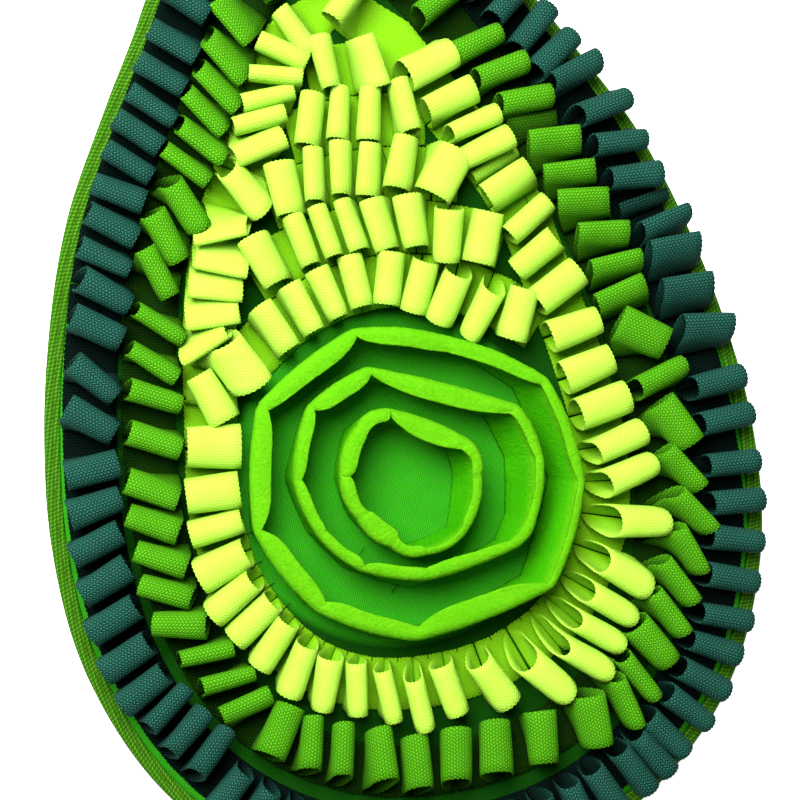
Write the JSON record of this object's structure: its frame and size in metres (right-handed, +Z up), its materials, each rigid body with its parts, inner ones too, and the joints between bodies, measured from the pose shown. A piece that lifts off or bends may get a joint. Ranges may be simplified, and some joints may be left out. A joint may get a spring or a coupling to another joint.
{
  "type": "snuffle mat",
  "caption": "Pear-shaped looped-ribbon snuffle mat for a dog, with three standing felt rings for hiding treats.",
  "frame": {"origin": "middle of the mat's bounding box, on the floor under it", "axes": "+Y up the mat's narrow neck, +X across it, +Z up from the floor"},
  "size_m": [0.3442, 0.4958, 0.0298],
  "materials": {
    "base_cloth": "woven",
    "binding_cloth": "twill",
    "dark_ribbon": "coarse basket weave",
    "mid_ribbon": "coarse basket weave",
    "pale_ribbon": "coarse basket weave",
    "felt": "felted"
  },
  "bodies": {
    "root": {"base_cloth": "base_cloth", "dark_ribbon_1": "dark_ribbon", "dark_ribbon_2": "dark_ribbon", "dark_ribbon_3": "dark_ribbon", "dark_ribbon_4": "dark_ribbon", "dark_ribbon_5": "dark_ribbon", "dark_ribbon_6": "dark_ribbon", "dark_ribbon_7": "dark_ribbon", "dark_ribbon_8": "dark_ribbon", "dark_ribbon_9": "dark_ribbon", "edge_binding_1": "binding_cloth", "edge_binding_2": "binding_cloth", "edge_binding_3": "binding_cloth", "edge_binding_4": "binding_cloth", "edge_binding_5": "binding_cloth", "edge_binding_6": "binding_cloth", "edge_binding_7": "binding_cloth", "edge_binding_8": "binding_cloth", "felt_ring_inner": "felt", "felt_ring_middle": "felt", "felt_ring_outer": "felt", "mid_ribbon_1": "mid_ribbon", "mid_ribbon_2": "mid_ribbon", "mid_ribbon_3": "mid_ribbon", "mid_ribbon_4": "mid_ribbon", "mid_ribbon_5": "mid_ribbon", "mid_ribbon_6": "mid_ribbon", "mid_ribbon_7": "mid_ribbon", "mid_ribbon_8": "mid_ribbon", "neck_ribbon_1": "pale_ribbon", "neck_ribbon_2": "pale_ribbon", "neck_ribbon_3": "pale_ribbon", "neck_ribbon_4": "pale_ribbon", "neck_ribbon_5": "pale_ribbon", "pale_ribbon_1": "pale_ribbon", "pale_ribbon_2": "pale_ribbon", "pale_ribbon_3": "pale_ribbon", "pale_ribbon_4": "pale_ribbon", "pale_ribbon_5": "pale_ribbon", "pale_ribbon_6": "pale_ribbon", "pale_ribbon_7": "pale_ribbon", "pale_ribbon_8": "pale_ribbon"}
  },
  "joints": []
}
